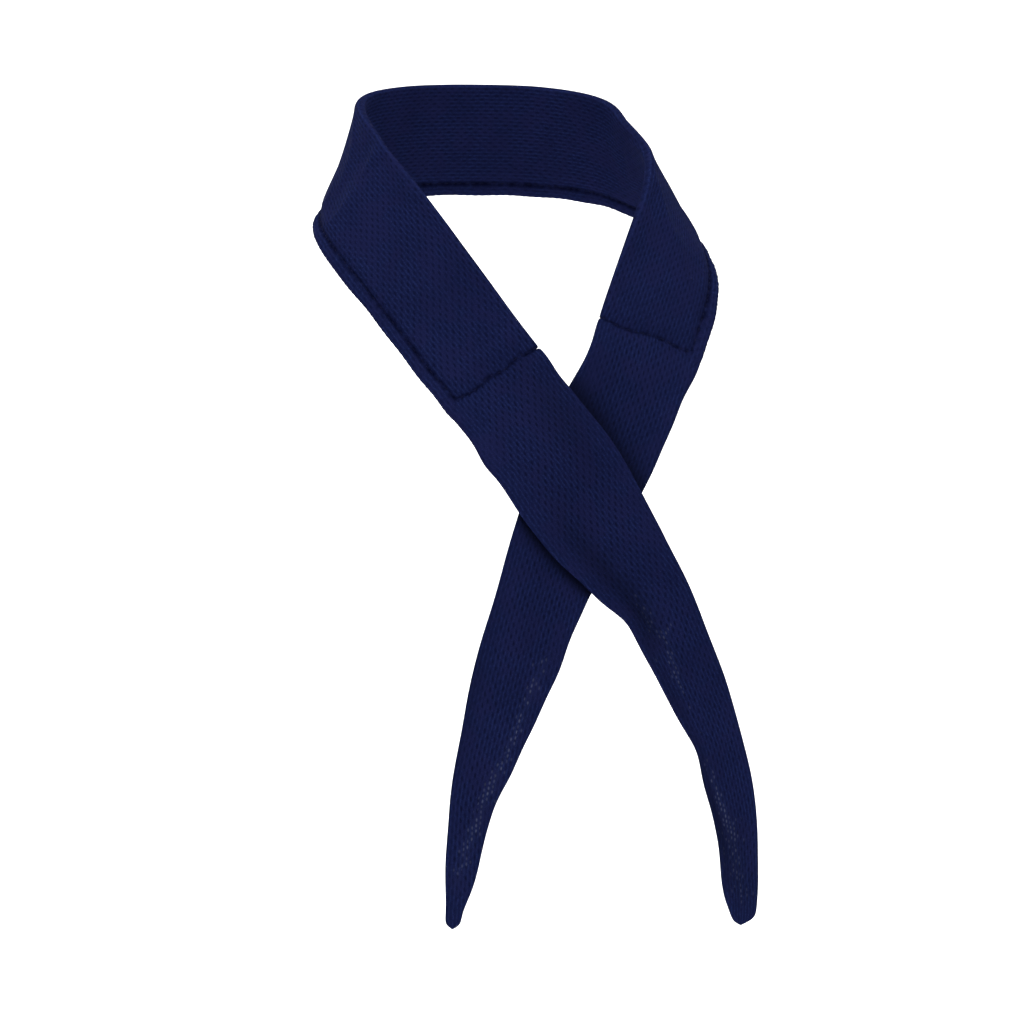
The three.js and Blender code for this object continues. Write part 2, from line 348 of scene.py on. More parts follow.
# %% [markdown]
# ### A point of the cloth
#
# One function places every point of every piece: it takes a place along the strip, a share across it
# from -1 at the inner edge to 1 at the outer edge, and a height out of the face. It also adds what all
# pieces share: the tail that lies over the other one is lifted, the outer edge curls, the face is
# dented, both cross seams wander a little, and the one of the under side runs aslant.

# %% Place a point


def smooth_step(value):
    value = np.clip(value, 0, 1)
    return value * value * (3 - 2 * value)


CROSSING_LIFT = TAIL_THICKNESS + CROSSING_GAP
LIFT_ROWS = 2.5
SLANT_ROWS = 2.5
SEAM_WANDER = 0.8 * MM
CURL_START = -0.1

nape_values, _, _, nape_out = directions_at(0.0)
ORIGIN_SHIFT = nape_out * PAD_THICKNESS / 2 - nape_values[:3]
UNDER_SEAM_ROW_LENGTH = float(np.linalg.norm(line_slope(UNDER_SEAM)))


def slanted(station, share):
    """The place of a point, moved along the strip near the cross seams as the seams slant and wander."""
    by_under = 1 - smooth_step(np.abs(station - UNDER_SEAM) / SLANT_ROWS)
    by_over = 1 - smooth_step(np.abs(station - OVER_SEAM) / SLANT_ROWS)
    under = share * UNDER_SEAM_SLANT + SEAM_WANDER * np.sin(5.3 * share + 1.1)
    over = SEAM_WANDER * (0.6 + np.sin(9.5 * share + 3.9))
    return station + (by_under * under + by_over * over) / UNDER_SEAM_ROW_LENGTH


def dent_depth(place, share):
    """How deep the face is pressed in, in metres."""
    depth = np.zeros(np.broadcast(place, share).shape)
    for at, middle, deep, length, breadth, slant in DENTS:
        along = (place - at) / length
        across = (share - middle - slant * (place - at)) / breadth
        depth += deep * STRIP_WIDTH * np.exp(-along**2 - across**2)
    return depth


def strip_point(station, share, height, sideways=0.0):
    """Where a point of the cloth is. sideways moves it across the strip in metres."""
    station, share, height, sideways = np.broadcast_arrays(station, share, height, sideways)
    place = slanted(station, share)
    values, _, across, out = directions_at(place)
    width, curl = values[..., 5], values[..., 6]
    lift = CROSSING_LIFT * smooth_step((place - OVER_SEAM + 1) / LIFT_ROWS)
    curled = np.clip((share - CURL_START) / (1 - CURL_START), 0, None) ** 2
    outward = height + lift - curl * curled - dent_depth(place, share)
    middle = values[..., :3] + ORIGIN_SHIFT
    return middle + across * (share * width / 2 + sideways)[..., None] + out * outward[..., None]


print("the top tail is lifted by", round(CROSSING_LIFT / MM, 1), "mm")

# %% [markdown]
# ### Measuring along the cloth
#
# Stitches and knit loops have real sizes, so the cloth needs a ruler. The line is walked in small steps
# and its length is added up, from 0 at the nape. Two small functions then turn a place into metres along
# the strip, and back.

# %% Make the ruler
RULER_STEPS = 2100
RULER_PLACES = np.linspace(UNDER_END, OVER_END, RULER_STEPS + 1)
ruler_steps = np.linalg.norm(np.diff(rows_at(RULER_PLACES)[:, :3], axis=0), axis=1)
RULER = np.concatenate([[0], np.cumsum(ruler_steps)])
RULER -= np.interp(0, RULER_PLACES, RULER)


def metres_along(place):
    return np.interp(place, RULER_PLACES, RULER)


def place_at(metres):
    return np.interp(metres, RULER, RULER_PLACES)


def places_between(start, end, step):
    """Places from start to end, evenly spaced along the cloth and about a step apart."""
    first, last = metres_along(start), metres_along(end)
    count = max(2, round(abs(last - first) / step) + 1)
    return place_at(np.linspace(first, last, count))


pocket_length = float(metres_along(OVER_SEAM) - metres_along(UNDER_SEAM))
print("strip", round(float(RULER[-1] - RULER[0]), 3), "m, pocket", round(pocket_length, 3), "m")

# %% [markdown]
# ## The knit
#
# The cloth is an eyelet mesh: fine ribs run along the strip, and between them small slits stand in
# columns, each column half a step off the next. Such a pattern could be modelled hole by hole, but
# there are more than ten thousand slits, each under a millimetre wide. A material draws them better. It
# needs to know where on the cloth it is, so every piece carries a vector named `strip` on its points:
# metres along, metres across, and the side of the cloth. The pattern then follows each bend of the
# strip, as the real knit does, and no unwrapping is needed.
#
# A material is a graph of nodes. Each helper below adds a node and hands back its output, so that the
# pattern can be written down like arithmetic.

# %% Small helpers for material nodes


def wire(tree, value, socket):
    """Plugs a socket in, or writes a number or a colour into it."""
    if isinstance(value, bpy.types.NodeSocket):
        tree.links.new(value, socket)
    elif value is not None:
        socket.default_value = value


def calculate(tree, operation, first, second=None, clamp=False):
    node = tree.nodes.new("ShaderNodeMath")
    node.operation = operation
    node.use_clamp = clamp
    wire(tree, first, node.inputs[0])
    wire(tree, second, node.inputs[1])
    return node.outputs[0]


def add(tree, first, second):
    return calculate(tree, "ADD", first, second)


def subtract(tree, first, second):
    return calculate(tree, "SUBTRACT", first, second)


def multiply(tree, first, second):
    return calculate(tree, "MULTIPLY", first, second)


def divide(tree, first, second):
    return calculate(tree, "DIVIDE", first, second)


def absolute(tree, value):
    return calculate(tree, "ABSOLUTE", value)


def reverse(tree, value):
    """1 where the value is 0, and 0 where it is 1."""
    return subtract(tree, 1.0, value)


def blend_step(tree, value, start, end):
    """0 below start, 1 above end, and a soft step between."""
    node = tree.nodes.new("ShaderNodeMapRange")
    node.interpolation_type = "SMOOTHSTEP"
    wire(tree, value, node.inputs["Value"])
    node.inputs["From Min"].default_value = start
    node.inputs["From Max"].default_value = end
    return node.outputs["Result"]


# %% [markdown]
# ### Colours, noise and bump
#
# Three more kinds of node are needed. One mixes two colours, two make noise, and one turns a height into
# a bump. Smooth noise makes patches and fibres. White noise gives every slit a value of its own. The
# last helper reads what a piece has written on its points.

# %% More helpers for material nodes


def mix_colours(tree, share, first, second):
    node = tree.nodes.new("ShaderNodeMix")
    node.data_type = "RGBA"
    wire(tree, share, node.inputs[0])
    wire(tree, first, node.inputs[6])
    wire(tree, second, node.inputs[7])
    return node.outputs[2]


def noise(tree, position, scale, detail=2.0):
    node = tree.nodes.new("ShaderNodeTexNoise")
    wire(tree, position, node.inputs["Vector"])
    node.inputs["Scale"].default_value = scale
    node.inputs["Detail"].default_value = detail
    return node.outputs["Fac"]


def white_noise(tree, first, second):
    """A random value from 0 to 1 for each cell that two whole numbers name."""
    node = tree.nodes.new("ShaderNodeTexWhiteNoise")
    node.noise_dimensions = "2D"
    cell = tree.nodes.new("ShaderNodeCombineXYZ")
    tree.links.new(first, cell.inputs[0])
    tree.links.new(second, cell.inputs[1])
    tree.links.new(cell.outputs[0], node.inputs["Vector"])
    return node.outputs["Value"]


def raise_surface(tree, height, strength, distance):
    bump = tree.nodes.new("ShaderNodeBump")
    bump.inputs["Strength"].default_value = strength
    bump.inputs["Distance"].default_value = distance
    tree.links.new(height, bump.inputs["Height"])
    tree.links.new(bump.outputs["Normal"], tree.nodes["Principled BSDF"].inputs["Normal"])


def attribute(tree, name, output="Fac"):
    node = tree.nodes.new("ShaderNodeAttribute")
    node.attribute_name = name
    return node.outputs[output]


# %% [markdown]
# ### Columns and steps
#
# Dividing the metres across by the spacing of the columns gives a number whose whole part counts the
# columns and whose fraction says where in a column a point lies. The same is done along the strip, with
# half a step added in every other column. Noise moves the coordinates by a fraction of a millimetre
# first, because a real knit is never ruled.

# %% Find the place in the knit
COLUMN_SPACING = 1.69 * MM
SLIT_SPACING = 4.83 * MM
WANDER_ACROSS = 0.6 * MM
WANDER_ALONG = 1.2 * MM
WANDER_ACROSS_SCALE = 180
WANDER_ALONG_SCALE = 95


def wandered(tree, strip, value, scale, reach):
    """A coordinate moved by noise, up to half its reach either way."""
    wander = subtract(tree, noise(tree, strip, scale), 0.5)
    return add(tree, value, multiply(tree, wander, reach))


def cell_and_place(tree, value, size, shift=0.0):
    """The number of the cell that a value falls in, and where it lies there, from -0.5 to 0.5."""
    counted = add(tree, divide(tree, value, size), shift)
    return calculate(tree, "FLOOR", counted), subtract(tree, calculate(tree, "FRACT", counted), 0.5)


def knit_place(tree):
    """The column and the step that a point lies in, and how far it is from their middles."""
    strip = attribute(tree, "strip", "Vector")
    split = tree.nodes.new("ShaderNodeSeparateXYZ")
    tree.links.new(strip, split.inputs[0])
    along = wandered(tree, strip, split.outputs[0], WANDER_ALONG_SCALE, WANDER_ALONG)
    across = wandered(tree, strip, split.outputs[1], WANDER_ACROSS_SCALE, WANDER_ACROSS)
    column, in_column = cell_and_place(tree, across, COLUMN_SPACING)
    half_step = multiply(tree, calculate(tree, "PINGPONG", column, 1.0), 0.5)
    step, in_step = cell_and_place(tree, along, SLIT_SPACING, half_step)
    return SimpleNamespace(
        strip=strip, along=along, column=column, in_column=in_column,
        half_step=half_step, step=step, in_step=in_step,
    )


face_area = float(np.sum(rows_at(RULER_PLACES[1:])[:, 5] * ruler_steps))
print("slits on both faces, about:", round(2 * face_area / (COLUMN_SPACING * SLIT_SPACING)))

# %% [markdown]
# ### Slits
#
# An ellipse round the middle of each cell is the slit, soft at its rim. The slits lean a little, one way
# on one side of the nape and the other way on the other side. Some are fainter than others, as loops of
# yarn close up here and there.

# %% Draw the slits
SLIT_HALF_WIDTH = 0.215
SLIT_HALF_LENGTH = 0.24
SLIT_RIM = (0.5, 1.25)
SLIT_LEAN = 0.45
LEAN_TURN = 50 * MM
FAINTEST_SLIT = 0.55


def ellipse_distance(tree, across, along, half_width, half_length):
    """0 in the middle of an ellipse and 1 on its rim."""
    squares = [
        calculate(tree, "POWER", divide(tree, absolute(tree, value), half), 2.0)
        for value, half in ((across, half_width), (along, half_length))
    ]
    return calculate(tree, "SQRT", add(tree, *squares))


def slit_mask(tree, place):
    """1 in a slit and 0 on the yarn."""
    side = subtract(tree, multiply(tree, 2.0, blend_step(tree, place.along, -LEAN_TURN, LEAN_TURN)), 1.0)
    lean = multiply(tree, SLIT_LEAN, side)
    leaning = subtract(tree, place.in_column, multiply(tree, place.in_step, lean))
    distance = ellipse_distance(tree, leaning, place.in_step, SLIT_HALF_WIDTH, SLIT_HALF_LENGTH)
    slit = reverse(tree, blend_step(tree, distance, *SLIT_RIM))
    chance = white_noise(tree, place.column, place.step)
    strength = add(tree, FAINTEST_SLIT, multiply(tree, chance, 1 - FAINTEST_SLIT))
    return multiply(tree, slit, strength)


slit_width, slit_length = 2 * SLIT_HALF_WIDTH * COLUMN_SPACING, 2 * SLIT_HALF_LENGTH * SLIT_SPACING
print("a slit is", round(slit_width / MM, 2), "mm wide and", round(slit_length / MM, 2), "mm long")

# %% [markdown]
# ### Ribs and loops
#
# Between two columns of slits the yarn forms a rib. It sways a little from slit to slit, and noise breaks
# it up where fibres lie over it. Each loop of the yarn is a small slanting wave, a V over a whole column.

# %% Draw the ribs and loops
RIB_SWAY = 0.08
RIB_RIM = (0.03, 0.3)
RIB_FUZZ_SCALE = 900
RIB_FUZZ = (0.32, 0.62)
LOOP_PITCH = 0.8 * MM
LOOP_SLANT = 1.2 * LOOP_PITCH


def rib_mask(tree, place, slit):
    """1 on the middle of a rib."""
    sway = calculate(tree, "COSINE", multiply(tree, place.in_step, 2 * math.pi))
    middle = add(tree, 0.5, multiply(tree, sway, RIB_SWAY))
    distance = absolute(tree, subtract(tree, absolute(tree, place.in_column), middle))
    rib = multiply(tree, reverse(tree, blend_step(tree, distance, *RIB_RIM)), reverse(tree, slit))
    return multiply(tree, rib, blend_step(tree, noise(tree, place.strip, RIB_FUZZ_SCALE), *RIB_FUZZ))


def loop_waves(tree, place):
    slanted_along = add(tree, place.along, multiply(tree, absolute(tree, place.in_column), LOOP_SLANT))
    return calculate(tree, "SINE", multiply(tree, slanted_along, 2 * math.pi / LOOP_PITCH))


print("loops of yarn beside one slit:", round(SLIT_SPACING / LOOP_PITCH, 1))

# %% [markdown]
# ### What the pieces paint
#
# Some things change over the cloth, and each piece paints them on its points. `cover` is 1 where more
# layers lie under the face, such as at a turned-in edge, so that the slits look shallow. `light` is 1
# where the slits of both layers meet and bright background shows through as pale dots. `seam` is painted
# shade: it is 1 in the groove along a row of stitches and in a crease, and makes the knit dark there.
# `shade` is painted shade too: it makes the cloth a little deeper and greyer in folds and beside the
# edges of the top tail, where one tail lies on the other.

# %% Draw the pale dots
PAINTED = ("cover", "light", "seam", "shade")
DOT_HALF_WIDTH = 0.27
DOT_HALF_LENGTH = 0.36
DOT_RIM = (0.3, 1.3)
FAINTEST_DOT = 0.3


def dot_mask(tree, place, light):
    """1 in a pale dot. There are two dots to a slit, and fewer of them where there is less light."""
    step, in_step = cell_and_place(tree, place.along, SLIT_SPACING / 2, place.half_step)
    distance = ellipse_distance(tree, place.in_column, in_step, DOT_HALF_WIDTH, DOT_HALF_LENGTH)
    dot = reverse(tree, blend_step(tree, distance, *DOT_RIM))
    chance = white_noise(tree, place.column, step)
    lit = calculate(tree, "LESS_THAN", chance, light)
    strength = calculate(tree, "MULTIPLY", lit, add(tree, FAINTEST_DOT, chance), clamp=True)
    return multiply(tree, dot, strength)


# %% [markdown]
# ### Colours of the knit
#
# Navy cloth is never one colour: patches of the knit turn a little violet or a little darker. Light and
# shade are painted on as well: the yarn on a rib is painted lighter, as it catches more light, and the
# slits are painted nearly black, as the shade inside the holes. A short table holds the patches. Each
# row is one layer, laid over the one before.

# %% Mix the colours
CLOTH_COLOUR = (0.0055, 0.0085, 0.0385, 1)
RIB_COLOUR = (0.0106, 0.0169, 0.07, 1)
# SLIT_COLOUR is painted shade inside the slits, which stand for holes; COVERED_SLIT_COLOUR is lighter, as
# the holes are shallower where more layers lie below. The patches below also use SLIT_COLOUR as a darker
# tone of the knit.
SLIT_COLOUR = (0.0026, 0.0038, 0.0175, 1)
COVERED_SLIT_COLOUR = (0.0038, 0.0058, 0.028, 1)
VIOLET_COLOUR = (0.0086, 0.0102, 0.0455, 1)
# SEAM_COLOUR is the painted shade in the grooves of the seams and in the shoulder crease.
SEAM_COLOUR = (0.0016, 0.0023, 0.0118, 1)
# The pale dots and the haze round them are painted light: bright background that shows through both layers
# of the knit.
PALE_DOT_COLOUR = (0.036, 0.043, 0.088, 1)
LIGHT_HAZE_COLOUR = (0.0096, 0.0134, 0.046, 1)
# SHADE_COLOUR is painted shade, for folds and for the cloth beside the top tail's edges.
SHADE_COLOUR = (0.0022, 0.003, 0.0105, 1)

FIBRE_SCALE = 2600
LIGHT_HAZE_SHARE = 0.4
SEAM_FUZZ_SCALE = 330
SEAM_FUZZ = (0.25, 0.65)

# noise scale, where the patch begins and is full, how much of its colour it brings, colour
PATCHES = (
    (110, (0.4, 0.65), 0.7, VIOLET_COLOUR),
    (FIBRE_SCALE, (0.3, 0.7), 0.6, SLIT_COLOUR),
    (42, (0.35, 0.75), 0.25, SLIT_COLOUR),
)


def knit_colour(tree, place, slit, rib):
    colour = mix_colours(tree, rib, CLOTH_COLOUR, RIB_COLOUR)
    for scale, rim, most, patch_colour in PATCHES:
        patch = blend_step(tree, noise(tree, place.strip, scale, 3.0), *rim)
        colour = mix_colours(tree, multiply(tree, patch, most), colour, patch_colour)
    cover, light, seam, shade = (attribute(tree, name) for name in PAINTED)
    # painted shade inside the slits, lighter where more layers lie below
    colour = mix_colours(tree, slit, colour, mix_colours(tree, cover, SLIT_COLOUR, COVERED_SLIT_COLOUR))
    # painted light where the background shows through: first a pale haze, then the pale dots
    colour = mix_colours(tree, multiply(tree, light, LIGHT_HAZE_SHARE), colour, LIGHT_HAZE_COLOUR)
    colour = mix_colours(tree, dot_mask(tree, place, light), colour, PALE_DOT_COLOUR)
    # painted shade along the seams, made uneven along their length by noise
    seam_shade = multiply(tree, seam, blend_step(tree, noise(tree, place.strip, SEAM_FUZZ_SCALE), *SEAM_FUZZ))
    colour = mix_colours(tree, seam_shade, colour, SEAM_COLOUR)
    return mix_colours(tree, shade, colour, SHADE_COLOUR)


# %% [markdown]
# ### Relief and gloss
#
# The slits go in, and ribs, loops and fibres stand out. A bump is enough for relief of a tenth of a
# millimetre. Polyester knit is matt: it has hardly any mirror gloss, only a faint sheen of loose fibres,
# and what little gloss there is must stay low, or the cloth turns pale where it is seen at a slant.

# %% Knit material
RIB_RELIEF = 0.3
LOOP_RELIEF = 0.09
FIBRE_RELIEF = 0.22
COVERED_SHALLOWNESS = 0.6


def knit_relief(tree, place, slit, rib, fibres):
    shallow = multiply(tree, attribute(tree, "cover"), COVERED_SHALLOWNESS)
    depth = multiply(tree, slit, reverse(tree, shallow))
    relief = subtract(tree, multiply(tree, rib, RIB_RELIEF), depth)
    relief = add(tree, relief, multiply(tree, loop_waves(tree, place), LOOP_RELIEF))
    return add(tree, relief, multiply(tree, fibres, FIBRE_RELIEF))


def knit_material(name):
    material, tree, shader = new_material(name)
    place = knit_place(tree)
    slit = slit_mask(tree, place)
    rib = rib_mask(tree, place, slit)
    fibres = noise(tree, place.strip, FIBRE_SCALE, 3.0)
    tree.links.new(knit_colour(tree, place, slit, rib), shader.inputs["Base Color"])
    roughness = calculate(tree, "ADD", 0.78, multiply(tree, fibres, 0.3), clamp=True)
    tree.links.new(roughness, shader.inputs["Roughness"])
    shader.inputs["Specular IOR Level"].default_value = 0.006
    shader.inputs["Sheen Weight"].default_value = 0.006
    shader.inputs["Sheen Roughness"].default_value = 0.3
    shader.inputs["Sheen Tint"].default_value = (0.3, 0.36, 0.75, 1)
    raise_surface(tree, knit_relief(tree, place, slit, rib, fibres), strength=0.7, distance=0.3 * MM)
    return material


knit = knit_material("navy_eyelet_knit")
print("knit material nodes:", len(knit.node_tree.nodes))

# %% [markdown]
# ### Sewing thread
#
# The thread is navy too, and a little smoother than the knit. It is less than half a millimetre thick, so
# its twist need not be modelled: fine noise in its colour and bump stands for its strands.

# %% Thread material
DARK_STRAND = (0.0022, 0.003, 0.015, 1)
LIGHT_STRAND = (0.0044, 0.006, 0.031, 1)
STRAND_SCALE = 3200


def thread_material(name):
    material, tree, shader = new_material(name)
    position = tree.nodes.new("ShaderNodeNewGeometry").outputs["Position"]
    strands = noise(tree, position, STRAND_SCALE, 1.0)
    tree.links.new(mix_colours(tree, strands, DARK_STRAND, LIGHT_STRAND), shader.inputs["Base Color"])
    tree.links.new(add(tree, 0.7, multiply(tree, strands, 0.3)), shader.inputs["Roughness"])
    shader.inputs["Specular IOR Level"].default_value = 0.04
    shader.inputs["Sheen Weight"].default_value = 0.01
    raise_surface(tree, strands, strength=0.4, distance=0.1 * MM)
    return material


thread = thread_material("navy_thread")
print("thread material nodes:", len(thread.node_tree.nodes))

# %% [markdown]
# ## Turning rings into cloth
#
# Every soft piece here is a closed form: a ring of points round the strip, repeated from one end to the
# other, and joined by four-sided faces. Four-sided faces in rows take a subdivision well, and a cloth
# simulation bends them evenly. The helper takes arrays with one row of points for each ring, closes both
# ends, and writes the vectors and values that the knit material reads.

# %% Build a closed piece from rings


def add_object(name, mesh, material):
    mesh.polygons.foreach_set("use_smooth", [True] * len(mesh.polygons))
    mesh.materials.append(material)
    piece = bpy.data.objects.new(name, mesh)
    bpy.context.collection.objects.link(piece)
    return piece


def write_values(mesh, name, kind, values):
    field = "vector" if kind == "FLOAT_VECTOR" else "value"
    mesh.attributes.new(name, kind, "POINT").data.foreach_set(
        field, np.ascontiguousarray(values, dtype=np.float32).ravel())


def closed_piece(name, points, strip, **painted):
    """points is rings x points x 3. painted gives each point its values, and what isn't given is 0."""
    rings, sides = points.shape[:2]
    ring, side = np.meshgrid(np.arange(rings - 1), np.arange(sides), indexing="ij")
    here = ring * sides + side
    beside = ring * sides + (side + 1) % sides
    quads = np.stack([here, here + sides, beside + sides, beside], axis=-1).reshape(-1, 4)

    def with_ends(values):
        """The values of all rings in one list, then the means of the first and last ring."""
        ends = [values[0].mean(axis=0, keepdims=True), values[-1].mean(axis=0, keepdims=True)]
        flat = values.reshape(rings * sides, -1)
        return np.concatenate([flat] + [end.reshape(1, -1) for end in ends])

    first_middle = rings * sides
    last = (rings - 1) * sides
    faces = quads.tolist()
    faces += [(first_middle, i, (i + 1) % sides) for i in range(sides)]
    faces += [(first_middle + 1, last + (i + 1) % sides, last + i) for i in range(sides)]
    mesh = bpy.data.meshes.new(name)
    mesh.from_pydata(with_ends(points).tolist(), [], faces)
    write_values(mesh, "strip", "FLOAT_VECTOR", with_ends(strip))
    for value_name in PAINTED:
        values = painted.get(value_name, np.zeros((rings, sides)))
        write_values(mesh, value_name, "FLOAT", with_ends(values[..., None]))
    mesh.update()
    return add_object(name, mesh, knit)


# %% [markdown]
# ### The knit's own coordinates
#
# The vector for the material is the ruler's reading along the strip, the distance from the middle line
# and a mark for the side of the cloth. A subdivision modifier smooths each piece last of all, and blends
# these values along with the points.

# %% Measure the knit and smooth the piece
SIDE_MARK = 0.05


def strip_vector(station, share, face, bias=0.0, seam=0):
    """Metres along, metres across and the side of the cloth, for the knit material.

    bias turns the knit a little from a seam onwards, as in a piece that is cut slightly aslant.
    """
    place = slanted(station, share)
    across = share * rows_at(place)[..., 5] / 2
    across = across + bias * (metres_along(place) - metres_along(seam))
    return np.stack(np.broadcast_arrays(metres_along(place), across, face * SIDE_MARK), axis=-1)


def smooth_finish(piece, levels=1):
    modifier = piece.modifiers.new("smooth", "SUBSURF")
    modifier.levels = modifier.render_levels = levels
    return piece


# %% [markdown]
# ### Rings with two faces
#
# A ring starts at the inner edge, runs over the outer face to the outer edge and comes back on the face
# that lies against the wearer. Points stand closer together near both edges, where the form turns.

# %% Points of one ring
EVEN_SHARE = 0.45
EDGE_CROWDING = 0.62


def ring_of(count):
    """How far across each point of a ring is, from -1 to 1, and on which face: 1 or -1."""
    angle = np.arange(count) / count * 2 * np.pi
    across = -np.cos(angle)
    crowded = np.sign(across) * np.abs(across) ** EDGE_CROWDING
    across = EVEN_SHARE * across + (1 - EVEN_SHARE) * crowded
    return across[None], np.where(np.sin(angle) >= -1e-9, 1.0, -1.0)[None]


print("a ring of eight points, across:", np.round(ring_of(8)[0][0], 2).tolist())


def quarter_round(distance, radius):
    """0 at an edge and 1 a radius further in, along a quarter circle."""
    return np.sqrt(1 - (1 - np.clip(distance / radius, 0, 1)) ** 2)


# %% [markdown]
# ### Soft unevenness
#
# Cloth is never quite even. A sum of a few long waves in different directions looks random, yet comes out
# the same at each run, and a number called a seed picks another set of waves. Where the real strip is a
# little wider or narrower at one place, a soft bump is added there.

# %% Waves and bumps
WAVE_COUNT = 5
GOLDEN_TURN = 2.399


def waves(first, second, seed):
    """Soft unevenness, mostly between -1 and 1, at places given in radians of the longest wave."""
    total = np.zeros(np.broadcast(first, second).shape)
    for step in range(WAVE_COUNT):
        turn = seed * 1.7 + step * GOLDEN_TURN
        grow = 1 + 0.37 * step
        total += np.sin(grow * (first * math.cos(turn) + second * math.sin(turn)) + 3.1 * seed * step)
    return total / 3


def near(distance, reach):
    """1 where the distance is 0, softly down to 0 at about twice the reach."""
    return np.exp(-((distance / reach) ** 2))


def bumps(places, table):
    """A sum of soft bumps at places along the strip: each has its place, its size and its length."""
    return sum(size * near(places - at, length) for at, size, length in table)


heights = waves(np.linspace(0, 100, 2000), 0.0, 1)
print("waves run from", round(float(heights.min()), 2), "to", round(float(heights.max()), 2))

# %% [markdown]
# ## Seams
#
# A seam squeezes the cloth to a thin groove, and from each stitch small gathers run out and fade away.
# The pocket, the hem and the tails all meet at seams, so they share the same functions for where a seam
# lies, how near a point is to it and how the cloth gathers beside it.

# %% Groove and gathers
SEAM_HALF = 0.5 * MM
SEAM_OVERLAP = 0.9 * MM
SEAM_DRIFT = 0.3 * MM
GROOVE_WIDTH = 1.0 * MM
PUCKER_PITCH = 5.2 * MM
PUCKER_REACH = 5 * MM
PUCKER_SWAY = 1.3
LONG_GATHERS = 0.26 * MM
LONG_GATHERS_SEED = 4
CROSS_GATHERS = 0.42 * MM

# cross seam, seed of its gathers
CROSS_SEAMS = ((OVER_SEAM, 2), (UNDER_SEAM, 3))


def seam_share(station):
    """How far across the strip the long seam lies. No hand sews a dead straight line."""
    drift = SEAM_DRIFT * waves(metres_along(station) * 70, 0.0, 9)
    return 1 - 2 * (LIP_WIDTH + drift) / rows_at(station)[..., 5]


def inside_pocket(stations):
    """Metres from each place to the nearer cross seam, below zero on the tails."""
    metres = metres_along(stations)
    return np.minimum(metres - metres_along(UNDER_SEAM), metres_along(OVER_SEAM) - metres)


def puckers(to_seam, along_seam, depth, seed):
    """Small gathers that start at a seam and fade away from it."""
    phase = 2 * np.pi * along_seam / PUCKER_PITCH + PUCKER_SWAY * waves(along_seam * 160, 0.0, seed)
    return depth * np.sin(phase) * np.exp(-np.abs(to_seam) / PUCKER_REACH)


def cross_gathers(stations, across_metres, fade):
    """The gathers at both cross seams, the same on the pocket and on the tails."""
    total = 0
    for seam, seed in CROSS_SEAMS:
        to_seam = metres_along(stations) - metres_along(seam)
        total = total + puckers(to_seam, across_metres, CROSS_GATHERS, seed)
    return total * fade


nape_inset = (1 - float(seam_share(0.0))) * STRIP_WIDTH / 2
print("at the nape the long seam lies", round(nape_inset / MM, 1), "mm inside the edge")

# %% [markdown]
# ## The filled pocket
#
# On the real wrap the pocket is a tube of knit, filled with soft granules and sewn shut along one edge
# and at both ends. It is thickest in the middle, rounds over softly at the folded inner edge, and thins
# to almost nothing where a seam holds it. The rings below give it that form, a little too thin, and a
# cloth simulation then blows it up like a pillow.

# %% Lay out the pocket's rings
PAD_CELL = 1.6 * MM
PAD_RING = 72


def pocket_grid():
    """The rings of the pocket, with how far each point is from the fold, the long seam and the ends."""
    first = place_at(metres_along(UNDER_SEAM) - SEAM_OVERLAP)
    last = place_at(metres_along(OVER_SEAM) + SEAM_OVERLAP)
    inner_stations = places_between(UNDER_SEAM, OVER_SEAM, PAD_CELL)
    stations = np.concatenate([[first], inner_stations, [last]])[:, None]
    across, face = ring_of(PAD_RING)
    outer = seam_share(stations)
    share = -1 + (across + 1) / 2 * (outer + 1)
    half_width = rows_at(stations)[..., 5] / 2
    return SimpleNamespace(
        stations=stations, across=across, face=face, share=share,
        metres=metres_along(stations),
        across_metres=share * half_width,
        from_fold=(share + 1) * half_width,
        from_seam=(outer - share) * half_width,
        from_end=inside_pocket(stations) * np.ones_like(share),
    )


# %% [markdown]
# ### Its thickness
#
# Three slopes shape the pocket: a quarter circle at the fold, and two softer ones that rise from the long
# seam and from the ends. Where it bends over the shoulder, the knit is tucked into one short crease.

# %% Shape the pocket
HIDDEN_HALF = 0.28 * MM
FOLD_ROUNDING = 3.4 * MM
LONG_SEAM_SLOPE = 5.0 * MM
CROSS_SEAM_SLOPE = 11 * MM
SLOPE_POWER = 0.62
EDGE_CROWN = 0.84
START_SHARE = 0.86
PAD_UNEVEN = 0.16 * MM
GATHERS_END = 4 * MM

TUCK_FROM = 4.35
TUCK_FROM_SHARE = -0.85
TUCK_SLANT = -0.25
TUCK_WIDTH = 0.8 * MM
TUCK_DEPTH = 0.22 * MM


def shoulder_tuck(grid):
    """1 along the short crease where the band bends over the shoulder, on the over side."""
    line = TUCK_FROM + TUCK_SLANT * (grid.share - TUCK_FROM_SHARE)
    fade = smooth_step((grid.share + 1) / 0.15) * smooth_step((0.15 - grid.share) / 0.4)
    return near(grid.metres - metres_along(line), TUCK_WIDTH) * fade * (grid.face > 0)


